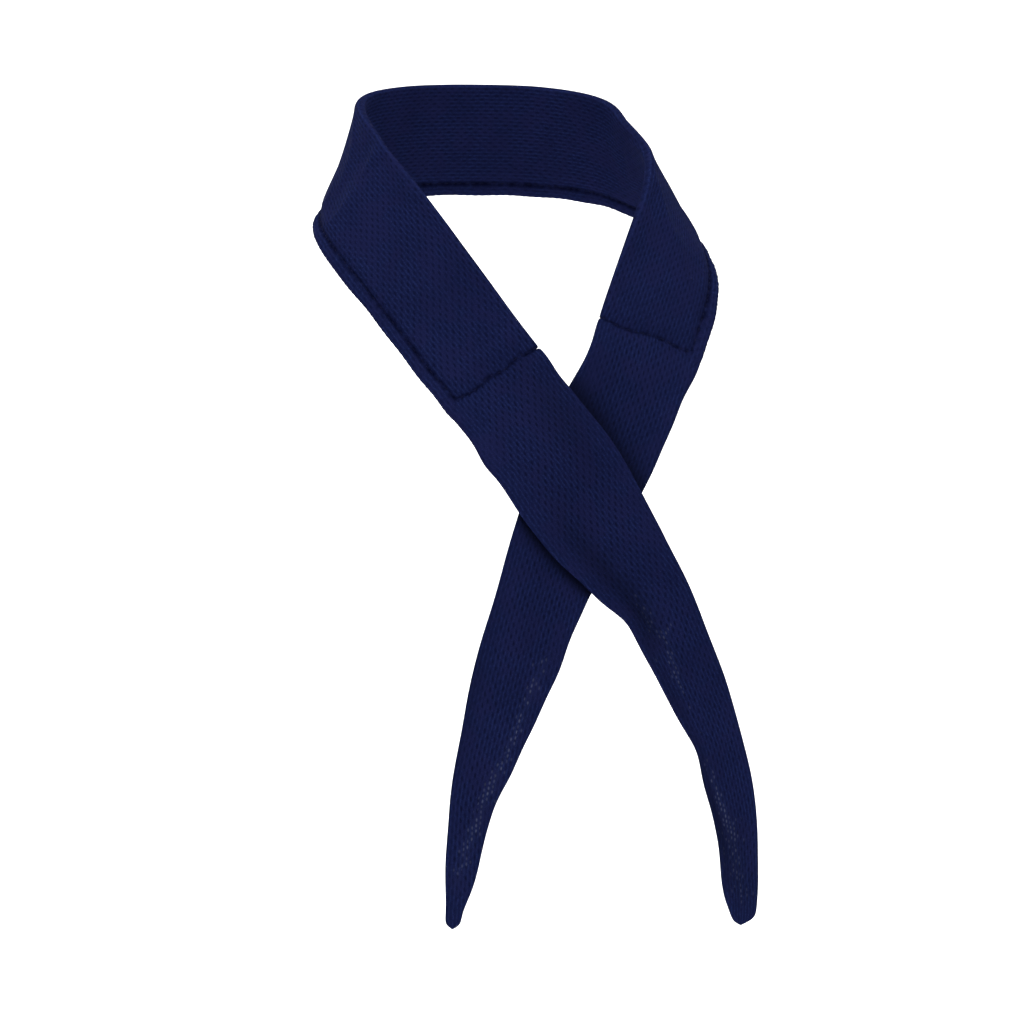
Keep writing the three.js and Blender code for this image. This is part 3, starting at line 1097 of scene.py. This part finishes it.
def pocket_height(grid):
    """How high each point stands over the strip's middle surface."""
    fold = quarter_round(grid.from_fold, FOLD_ROUNDING)
    slope = smooth_step(grid.from_seam / LONG_SEAM_SLOPE) ** SLOPE_POWER
    end = smooth_step(grid.from_end / CROSS_SEAM_SLOPE) ** SLOPE_POWER
    crown = EDGE_CROWN + (1 - EDGE_CROWN) * (1 - grid.across**2)
    full = START_SHARE * PAD_THICKNESS / 2
    half = SEAM_HALF + (full * crown - SEAM_HALF) * slope * end
    half = np.where(grid.from_end < 0, HIDDEN_HALF, half) * fold
    uneven = PAD_UNEVEN * waves(grid.metres * 85, grid.across_metres * 120, 1) * slope * end
    gathers = cross_gathers(grid.stations, grid.across_metres, smooth_step(grid.from_seam / GATHERS_END))
    gathers = gathers + puckers(grid.from_seam, grid.metres, LONG_GATHERS, LONG_GATHERS_SEED) * end
    return grid.face * half + (uneven + gathers - TUCK_DEPTH * shoulder_tuck(grid)) * fold


# %% [markdown]
# ### Put it together
#
# Besides its points, the pocket paints `cover` and `seam` for the knit material, and its `seam` is painted
# shade in the grooves of the seams and in the crease over the shoulder. It also marks the points that the
# stitches hold, because the simulation must not move them.

# %% Make the pocket
POCKET_COVER = 0.3
COVER_REACH = 2.5 * MM
# how strongly shade is painted into the crease over the shoulder
TUCK_SHADE = 0.3
HELD_BESIDE_LONG_SEAM = 1.2 * MM
HELD_BESIDE_CROSS_SEAM = 2.2 * MM


def make_pocket():
    grid = pocket_grid()
    nearest_seam = np.minimum(grid.from_seam, grid.from_end)
    # painted shade in the grooves of the long seam and both cross seams; the crease gets its painted shade
    # below
    seam = np.maximum(near(grid.from_seam, GROOVE_WIDTH), near(grid.from_end, GROOVE_WIDTH))
    piece = closed_piece(
        "padded_band",
        strip_point(grid.stations, grid.share, pocket_height(grid)),
        strip_vector(grid.stations, grid.share, grid.face),
        cover=np.maximum(POCKET_COVER, np.exp(-np.abs(nearest_seam) / COVER_REACH)),
        seam=np.maximum(seam, TUCK_SHADE * shoulder_tuck(grid)),
    )
    sewn = (grid.from_seam < HELD_BESIDE_LONG_SEAM) | (grid.from_end < HELD_BESIDE_CROSS_SEAM)
    return piece, np.concatenate([sewn.ravel(), [True, True]])


padded_band, pocket_sewn = make_pocket()
print("pocket points:", len(padded_band.data.vertices), "held by seams:", int(pocket_sewn.sum()))

# %% [markdown]
# ### Blow it up
#
# Cloth physics can push outwards from inside a closed mesh. Gravity is switched off, the points at the
# seams are held, and the pressure works for twenty frames. The knit stretches a little and wrinkles
# where the seams hold it back, which is hard to draw by hand.

# %% Run the cloth simulation
CLOTH_FRAMES = 20
PRESSURE = 4.0


def simulated_points(piece, held):
    """Where the pressure moves each point. The simulation is taken off again."""
    group = piece.vertex_groups.new(name="sewn")
    group.add([int(i) for i in np.flatnonzero(held)], 1.0, "REPLACE")
    modifier = piece.modifiers.new("swell", "CLOTH")
    cloth = modifier.settings
    cloth.quality = 6
    cloth.mass = 0.15
    cloth.tension_stiffness = cloth.compression_stiffness = 12
    cloth.shear_stiffness = 6
    cloth.bending_stiffness = 0.3
    cloth.use_pressure = True
    cloth.uniform_pressure_force = PRESSURE
    cloth.vertex_group_mass = "sewn"
    cloth.effector_weights.gravity = 0
    modifier.collision_settings.use_collision = False
    modifier.point_cache.frame_start = 1
    modifier.point_cache.frame_end = CLOTH_FRAMES
    for number in range(1, CLOTH_FRAMES + 1):
        bpy.context.scene.frame_set(number)
    result = piece.evaluated_get(bpy.context.evaluated_depsgraph_get()).to_mesh()
    moved = np.empty(len(result.vertices) * 3)
    result.vertices.foreach_get("co", moved)
    piece.modifiers.remove(modifier)
    piece.vertex_groups.remove(group)
    bpy.context.scene.frame_set(1)
    return moved.reshape(-1, 3)


# %% [markdown]
# ### Keep its size
#
# No point may move further than about a millimetre, so the band keeps its size. A hard limit would
# leave a flat area where many points reach it. The hyperbolic tangent slows them down softly instead. The
# capped points are written into the mesh, so the result is a plain mesh that is the same every time.

# %% Apply the result
SWELL_LIMIT = 1.1 * MM


def swell(piece, held):
    start = np.empty(len(piece.data.vertices) * 3)
    piece.data.vertices.foreach_get("co", start)
    start = start.reshape(-1, 3)
    shift = simulated_points(piece, held) - start
    length = np.linalg.norm(shift, axis=1, keepdims=True)
    capped = shift * SWELL_LIMIT * np.tanh(length / SWELL_LIMIT) / np.maximum(length, 1e-9)
    piece.data.vertices.foreach_set("co", (start + capped).ravel())
    piece.data.update()
    print(piece.name, "moved up to", round(float(length.max()) / MM, 2), "mm, kept to",
          round(float(np.linalg.norm(capped, axis=1).max()) / MM, 2), "mm")


swell(padded_band, pocket_sewn)
smooth_finish(padded_band)

# %% [markdown]
# ## The hem outside the long seam
#
# Beyond the long seam the two layers of the tube are left as a narrow hem. It looks like a soft cord,
# because the turned-in edges of the cloth lie inside it. Each stitch pulls it in a little, so it is
# faintly scalloped. It runs a little way past both cross seams and thins out there.

# %% Lay out the hem's rings
HEM_CELL = 0.9 * MM
HEM_RING = 30
HEM_RUN_ON = 9 * MM
STITCH_PITCH = 3.1 * MM


def hem_grid():
    """The rings of the hem, with how far each point is from the seam, the edge and the cross seams."""
    first = place_at(metres_along(UNDER_SEAM) - HEM_RUN_ON)
    last = place_at(metres_along(OVER_SEAM) + HEM_RUN_ON)
    stations = places_between(first, last, HEM_CELL)[:, None]
    across, face = ring_of(HEM_RING)
    half_width = rows_at(stations)[..., 5] / 2
    inner = seam_share(stations) - SEAM_OVERLAP / half_width
    share = inner + (across + 1) / 2 * (1 - inner)
    metres = metres_along(stations)
    from_end = inside_pocket(stations)
    return SimpleNamespace(
        stations=stations, across=across, face=face, share=share, metres=metres, from_end=from_end,
        from_seam=(share - seam_share(stations)) * half_width,
        from_edge=(1 - share) * half_width,
        run_on=smooth_step((from_end + HEM_RUN_ON) / HEM_RUN_ON),
        stitch=np.cos(2 * np.pi * metres / STITCH_PITCH),
    )


print("scallops along the pocket:", round(pocket_length / STITCH_PITCH))

# %% [markdown]
# ### Its thickness and its scallops
#
# The height of a point makes the hem thick, and a push sideways makes its edge wavy.

# %% Make the hem
HEM_HALF = 1.75 * MM
HEM_END_THIN = 0.74
HEM_RUN_ON_THIN = 0.55
HEM_THINNING_REACH = 14 * MM
HEM_ROUNDING = 1.9 * MM
HEM_RISE_START = -0.25 * MM
HEM_RISE = 2.3 * MM
STITCH_PINCH = 0.05
HEM_LUMPS = 0.12
HEM_UNEVEN = 0.22 * MM
HEM_EDGE_UNEVEN = 0.3 * MM
SCALLOP = 0.1 * MM
HEM_PUSH = 0.2 * MM
HEM_PULL = 0.5 * MM
HEM_COVER = 0.8
HEM_GROOVE_END = 2 * MM

# place, size and length of the fuller corner at the over cross seam
HEM_CORNER = ((OVER_SEAM, 0.9 * MM, 0.4),)


def hem_height(grid):
    """How high each point of the hem stands over the strip's middle surface."""
    rise = smooth_step((grid.from_seam - HEM_RISE_START) / HEM_RISE) ** 0.7
    in_pocket = smooth_step(grid.from_end / HEM_THINNING_REACH)
    thick = HEM_HALF * (HEM_END_THIN + (1 - HEM_END_THIN) * in_pocket)
    thick = thick * (HEM_RUN_ON_THIN + (1 - HEM_RUN_ON_THIN) * grid.run_on)
    thick = thick * (1 + STITCH_PINCH * grid.stitch + HEM_LUMPS * waves(grid.metres * 170, 0.0, 5))
    half = (HIDDEN_HALF + (thick - HIDDEN_HALF) * rise) * quarter_round(grid.from_edge, HEM_ROUNDING)
    uneven = HEM_UNEVEN * waves(grid.metres * 190, grid.share * 4, 6) * rise
    gathers = puckers(grid.from_seam, grid.metres, LONG_GATHERS, LONG_GATHERS_SEED) * grid.run_on
    return grid.face * half + uneven + gathers


def hem_sideways(grid):
    """How far the hem's edge is pushed out, in metres."""
    edge = HEM_EDGE_UNEVEN * waves(grid.metres * 110, 0.0, 7) + SCALLOP * grid.stitch
    edge = edge + bumps(grid.stations, HEM_CORNER)
    return (edge + HEM_PUSH * grid.run_on - HEM_PULL * (1 - grid.run_on)) * (grid.across + 1) / 2


def make_hem():
    grid = hem_grid()
    piece = closed_piece(
        "hem_edge",
        strip_point(grid.stations, grid.share, hem_height(grid), hem_sideways(grid)),
        strip_vector(grid.stations, grid.share, grid.face),
        cover=np.full(grid.share.shape, HEM_COVER),
        # painted shade in the groove of the long seam
        seam=near(grid.from_seam, GROOVE_WIDTH) * np.clip(1 + grid.from_end / HEM_GROOVE_END, 0, 1),
    )
    return smooth_finish(piece)


hem_edge = make_hem()
print("hem points:", len(hem_edge.data.vertices))

# %% [markdown]
# ## The tails
#
# Each tail is two layers of knit with turned-in edges, which makes the edges a little fuller than the
# middle. It starts at its cross seam, where small gathers run out from the stitches, and narrows to a
# blunt tip. The tail is one closed sheet: thin, but with two faces and soft edges, so that it looks
# right from behind and from the side as well. Near the tip each edge rounds off by itself.

# %% Lay out a tail's rings
TAIL_CELL = 1.7 * MM
TAIL_RING = 56
SEWN_FADE = 2 * MM
THINNEST_TIP = 0.01


def tail_grid(seam, end, tips):
    """The rings of a tail, with how far each point is from its seam, its tip and the nearer edge."""
    stations = places_between(seam, end, TAIL_CELL)[:, None]
    across, face = ring_of(TAIL_RING)
    metres = metres_along(stations)
    to_tip = np.abs(metres - metres_along(end))
    inner_tip, outer_tip = (np.maximum(quarter_round(to_tip, length), THINNEST_TIP) for length in tips)
    share = np.where(across > 0, across * outer_tip, across * inner_tip)
    tip = (inner_tip + outer_tip) / 2
    half_width = rows_at(stations)[..., 5] / 2
    return SimpleNamespace(
        stations=stations, across=across, face=face, share=share, metres=metres, to_tip=to_tip, tip=tip,
        to_seam=np.abs(metres - metres_along(seam)),
        across_metres=share * half_width,
        from_edge=(1 - np.abs(across)) * half_width * tip,
        sewn=smooth_step((seam_share(stations) - share) * half_width / SEWN_FADE),
    )


# %% [markdown]
# ### Its form
#
# The heights below make the tail fuller along its edges and press it flat at the seam. Where one tail
# lies on the other, its edges sink towards the cloth below. Sideways, both edges wander a little, and the
# bumps in a short table widen or narrow the tail where the real one does so.

# %% Shape a tail
TAIL_MIDDLE_HALF = 0.7 * MM
TAIL_EDGE_HALF = 1.25 * MM
EDGE_WIDTH = 3.6 * MM
EDGE_ROUNDING = 1.3 * MM
SEAM_PRESS = 6 * MM
BESIDE_HEM_THINNER = 0.3 * MM
TAIL_UNEVEN = 0.35 * MM
SIDEWAYS_START = 2.5 * MM
TIP_REACH = 1.3 * MM
TIP_REACH_FADE = 9 * MM


def edge_droop(grid, inner_droops, outer_droops):
    """How far an edge sinks towards the cloth below it, where one tail lies on the other."""
    inner = bumps(grid.stations, inner_droops) * smooth_step((-grid.across - 0.3) / 0.6)
    return inner + bumps(grid.stations, outer_droops) * smooth_step((grid.across - 0.3) / 0.6)


def tail_height(grid, seed):
    """How high each point stands over the strip's middle surface, before its edges droop."""
    body = TAIL_MIDDLE_HALF + (TAIL_EDGE_HALF - TAIL_MIDDLE_HALF) * near(grid.from_edge, EDGE_WIDTH)
    pressed = smooth_step(grid.to_seam / SEAM_PRESS) ** 0.7
    body = body - (body - SEAM_HALF) * (1 - pressed) * grid.sewn
    body = body - BESIDE_HEM_THINNER * (1 - smooth_step(grid.to_seam / HEM_RUN_ON)) * (1 - grid.sewn)
    edge = quarter_round(grid.from_edge, EDGE_ROUNDING)
    uneven = TAIL_UNEVEN * waves(grid.metres * 55, grid.across_metres * 90, seed)
    height = grid.face * body * edge * np.sqrt(grid.tip)
    height = height + uneven * smooth_step(grid.to_seam / SEAM_PRESS) * grid.tip
    return height + cross_gathers(grid.stations, grid.across_metres, grid.sewn)


def tail_sideways(grid, seed, outer_bumps, inner_bumps):
    """How far the edges are pushed out, in metres."""
    outer = bumps(grid.stations, outer_bumps) + TAIL_UNEVEN * waves(grid.metres * 110, 0.0, seed + 2)
    inner = bumps(grid.stations, inner_bumps) + TAIL_UNEVEN * waves(grid.metres * 95, 0.0, seed + 3)
    pushed = np.where(grid.across > 0, outer, -inner) * grid.across**2
    return pushed * smooth_step(grid.to_seam / SIDEWAYS_START) * grid.tip


def tip_reach(grid, end):
    """A tail's last stretch is drawn out a little, in the direction in which it ends."""
    ahead = directions_at(end)[1] * np.sign(end)
    return ahead * (TIP_REACH * (1 - smooth_step(grid.to_tip / TIP_REACH_FADE)))[..., None]


# %% [markdown]
# ### Its light and shade
#
# The knit shows pale dots of light in some places, and painted shade in its folds and in darker stretches
# in others. Each is a soft spot, a row in a table. The turned-in edges make more layers, and so does the
# folded end. Where the other tail lies on this one, painted shadow darkens the cloth beside that tail's
# edges, and how near a point is to such an edge is measured as seen from the front.

# %% Paint a tail
FRONT_VIEW = [0, 2]
CROSSING = (8.2, 14)
END_LAYERS_LENGTH = 1.2


def spots(grid, table):
    """Soft spots on a tail: place, share across, length in rows, breadth, slant and strength."""
    total = np.zeros(grid.share.shape)
    for at, middle, length, breadth, slant, strength in table:
        along = (grid.stations - at) / length
        over = (grid.share - middle - slant * (grid.stations - at)) / breadth
        total += strength * np.exp(-along**2 - over**2)
    return np.clip(total, 0, 1)


def layers_below(grid, edge_layers, end_layers_from):
    """1 where the turned-in cloth of an edge or of the end makes more layers."""
    inner_edge, outer_edge = edge_layers
    edges = inner_edge * smooth_step((-grid.share - 0.5) / 0.35)
    edges = edges + outer_edge * smooth_step((grid.share - 0.5) / 0.35)
    end = smooth_step((np.abs(grid.stations) - end_layers_from) / END_LAYERS_LENGTH)
    return np.maximum(np.clip(edges, 0, 1), end)


def beside_edge(points, share, reach):
    """1 beside one edge of the top tail where it crosses the other, fading over a short reach: there the
    shadow of that edge is painted.
    """
    edge = strip_point(places_between(*CROSSING, 1 * MM), share, 0.0)[:, FRONT_VIEW]
    flat = points.reshape(-1, 3)[:, FRONT_VIEW]
    gaps = np.linalg.norm(flat[:, None] - edge[None], axis=2).min(axis=1)
    return near(gaps, reach).reshape(points.shape[:-1])


def make_tail(name, seam, end, tips, seed, bias, outer_bumps, inner_bumps, inner_droops, outer_droops,
              edge_layers, end_layers_from, light_spots, shade_spots, shadow_beside_edges):
    grid = tail_grid(seam, end, tips)
    height = tail_height(grid, seed) - edge_droop(grid, inner_droops, outer_droops)
    sideways = tail_sideways(grid, seed, outer_bumps, inner_bumps)
    points = strip_point(grid.stations, grid.share, height, sideways) + tip_reach(grid, end)
    # painted shadow beside the edges of the top tail, where it lies over this one
    pressed = sum(strength * beside_edge(points, share, reach) for share, strength, reach in shadow_beside_edges)
    piece = closed_piece(
        name, points, strip_vector(grid.stations, grid.share, grid.face, bias, seam),
        cover=layers_below(grid, edge_layers, end_layers_from),
        light=spots(grid, light_spots),
        # painted shade in the groove of the cross seam
        seam=near(grid.to_seam, GROOVE_WIDTH) * grid.sewn,
        # painted shade: the shadow beside the top tail's edges and the shade in folds and darker stretches
        shade=np.clip(pressed + spots(grid, shade_spots), 0, 1) * (grid.face > 0),
    )
    return smooth_finish(piece)


# %% [markdown]
# ### The tail on top
#
# This tail starts at the over seam, crosses the other one and swings to the wearer's left. Below the
# crossing it turns and curls a little, and there its two layers lie so that light shows through. In the
# tables, a bump has its place, size and length, and a spot has its place, share across, length, breadth,
# slant and strength.

# %% Make the tail on top
over_tail = make_tail(
    "over_tail_cloth", OVER_SEAM, OVER_END, tips=(4 * MM, 15 * MM), seed=7, bias=0.0,
    outer_bumps=(
        (8.55, -0.2 * MM, 0.25),
        (9.15, 1.3 * MM, 0.3),
        (10.2, 0.8 * MM, 0.6),
        (13.7, 0.8 * MM, 0.8),
    ),
    inner_bumps=((8.2, 0.4 * MM, 0.2), (8.6, -0.3 * MM, 0.2)),
    inner_droops=((9.3, 1.2 * MM, 0.7),),
    outer_droops=((11.0, 1.6 * MM, 0.9),),
    edge_layers=(0.7, 0.9), end_layers_from=19.2,
    light_spots=(
        (13.15, 0.38, 0.4, 0.16, 0.2, 0.7),
        (14.1, 0.36, 0.6, 0.16, 0.3, 0.6),
        (16.9, 0.68, 0.5, 0.13, -0.2, 0.7),
        (17.7, 0.5, 0.7, 0.24, -0.15, 0.75),
        (19.0, 0.15, 0.9, 0.4, -0.2, 0.6),
    ),
    shade_spots=(
        (9.2, -0.55, 0.9, 0.35, 0.1, 0.35),
        (11.9, 0.44, 1.3, 0.22, -0.04, 0.5),
        (13.2, 0.62, 0.6, 0.3, 0.1, 0.45),
        (14.6, 0.85, 1.2, 0.2, 0, 0.3),
        (17.3, 0.95, 1.6, 0.2, -0.05, 0.55),
        (18.8, 0.3, 1.2, 0.6, -0.3, 0.35),
    ),
    shadow_beside_edges=(),
)
print("top tail points:", len(over_tail.data.vertices))

# %% [markdown]
# ### The tail below
#
# The other tail hangs closer to the chest and ends in a narrower tip. The turned-in edge on its outer
# side shows as a darker band, and pale dots run along the inside of that band. The last table says how
# strong and how wide the painted shadow is beside each edge of the top tail.

# %% Make the tail below
under_tail = make_tail(
    "under_tail_cloth", UNDER_SEAM, UNDER_END, tips=(3 * MM, 3.5 * MM), seed=11, bias=0.1,
    outer_bumps=(),
    inner_bumps=(),
    inner_droops=(),
    outer_droops=(),
    edge_layers=(0.9, 0.6), end_layers_from=18.6,
    light_spots=(
        (-14.2, 0.56, 0.6, 0.09, 0.0, 0.6),
        (-15.4, 0.58, 0.8, 0.11, 0.0, 0.75),
        (-16.6, 0.5, 0.7, 0.14, 0.05, 0.75),
        (-17.6, 0.25, 0.7, 0.32, 0.3, 0.6),
        (-18.5, -0.1, 0.6, 0.35, 0.3, 0.55),
    ),
    shade_spots=((-14.6, -0.95, 2.5, 0.25, 0, 0.3),),
    shadow_beside_edges=((-1, 0.85, 7.0 * MM), (1, 1.0, 2.6 * MM)),
)
print("lower tail points:", len(under_tail.data.vertices))

# %% [markdown]
# ## The stitches
#
# A lockstitch shows as a row of short raised threads that dive into the cloth at each needle hole. One
# stitch is a small bent rod: both ends lie under the surface and its middle stands a little above it.
# All stitches of a seam go into one mesh, because hundreds of small objects would be slow to handle.

# %% Sew with rods
THREAD_RADIUS = 0.22 * MM
THREAD_END_SHARE = 0.55
STITCH_LENGTH = 2.35 * MM
STITCH_BOW = 0.28 * MM
STITCH_DIVE = 0.24 * MM
ROD_STEPS = 6
ROD_SIDES = 7


def rod_points(starts, ends, ups):
    """The rings of each rod, which bows from its start to its end towards its up direction."""
    t = np.linspace(0, 1, ROD_STEPS)[None, :, None]
    rise = np.sin(np.pi * t) * STITCH_BOW - STITCH_DIVE
    path = starts[:, None] * (1 - t) + ends[:, None] * t + ups[:, None] * rise
    forward = unit(ends - starts)[:, None, None]
    up = ups[:, None, None]
    beside = np.cross(forward, up)
    angle = (np.arange(ROD_SIDES) / ROD_SIDES * 2 * np.pi)[None, None, :, None]
    swollen = THREAD_END_SHARE + (1 - THREAD_END_SHARE) * np.sin(np.pi * t)
    round_rod = np.cos(angle) * up + np.sin(angle) * beside
    return path[:, :, None] + THREAD_RADIUS * swollen[..., None] * round_rod


def rod_faces(first):
    """The faces of one rod, whose points are counted from first."""
    faces = []
    for step in range(ROD_STEPS - 1):
        ring = first + step * ROD_SIDES
        for side in range(ROD_SIDES):
            beside = (side + 1) % ROD_SIDES
            faces.append((ring + side, ring + beside, ring + ROD_SIDES + beside, ring + ROD_SIDES + side))
    last_ring = first + (ROD_STEPS - 1) * ROD_SIDES
    faces.append(tuple(first + side for side in reversed(range(ROD_SIDES))))
    faces.append(tuple(last_ring + side for side in range(ROD_SIDES)))
    return faces


def sew(name, starts, ends, ups):
    """One mesh of stitches, each from its start to its end."""
    faces = []
    for rod in range(len(starts)):
        faces += rod_faces(rod * ROD_STEPS * ROD_SIDES)
    mesh = bpy.data.meshes.new(name)
    mesh.from_pydata(rod_points(starts, ends, ups).reshape(-1, 3).tolist(), [], faces)
    return add_object(name, mesh, thread)


# %% [markdown]
# ### Rows of stitches
#
# Rows run along the hem and across both ends of the pocket, on both faces of the cloth. The middles of
# the stitches are spaced along the seam in metres, and each end is then turned into a point of the strip.

# %% Sew the three seams
LONG_SEAM_INSET = 1.5 * MM
CROSS_SEAM_INSET = 2 * MM


def stitch_rows(station_from, share_from, station_to, share_to):
    """Ends and up directions for stitches between points of the strip, on both faces."""
    rows = []
    for face in (1, -1):
        start = strip_point(station_from, share_from, face * SEAM_HALF)
        end = strip_point(station_to, share_to, face * SEAM_HALF)
        rows.append((start, end, directions_at(slanted(station_from, share_from))[3] * face))
    return [np.concatenate(parts) for parts in zip(*rows)]


def long_seam():
    first = metres_along(UNDER_SEAM) + LONG_SEAM_INSET
    last = metres_along(OVER_SEAM) - LONG_SEAM_INSET
    middles = np.arange(first + STITCH_PITCH / 2, last, STITCH_PITCH)
    begin, finish = place_at(middles - STITCH_LENGTH / 2), place_at(middles + STITCH_LENGTH / 2)
    return stitch_rows(begin, seam_share(begin), finish, seam_share(finish))


def cross_seam(seam):
    half_width = float(rows_at(seam)[5]) / 2
    middles = np.arange(-half_width + CROSS_SEAM_INSET, half_width - LIP_WIDTH, STITCH_PITCH)
    begin = (middles - STITCH_LENGTH / 2) / half_width
    finish = (middles + STITCH_LENGTH / 2) / half_width
    station = np.full(len(middles), float(seam))
    return stitch_rows(station, begin, station, finish)


long_seam_thread = sew("long_seam_thread", *long_seam())
over_seam_thread = sew("over_seam_thread", *cross_seam(OVER_SEAM))
under_seam_thread = sew("under_seam_thread", *cross_seam(UNDER_SEAM))
threads = (long_seam_thread, over_seam_thread, under_seam_thread)
print("stitch faces:", sum(len(piece.data.polygons) for piece in threads))

# %% [markdown]
# ## Put the pieces in place
#
# The wrap is one soft body. Each new piece rides on it and takes the place of one plain solid, and the
# threads ride along.

for piece, node in (
    (padded_band, "neck_pad"),
    (hem_edge, "hem_lip"),
    (over_tail, "over_tail"),
    (under_tail, "under_tail"),
):
    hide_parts(node)
    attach(piece, "root")
for piece in threads:
    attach(piece, "root")
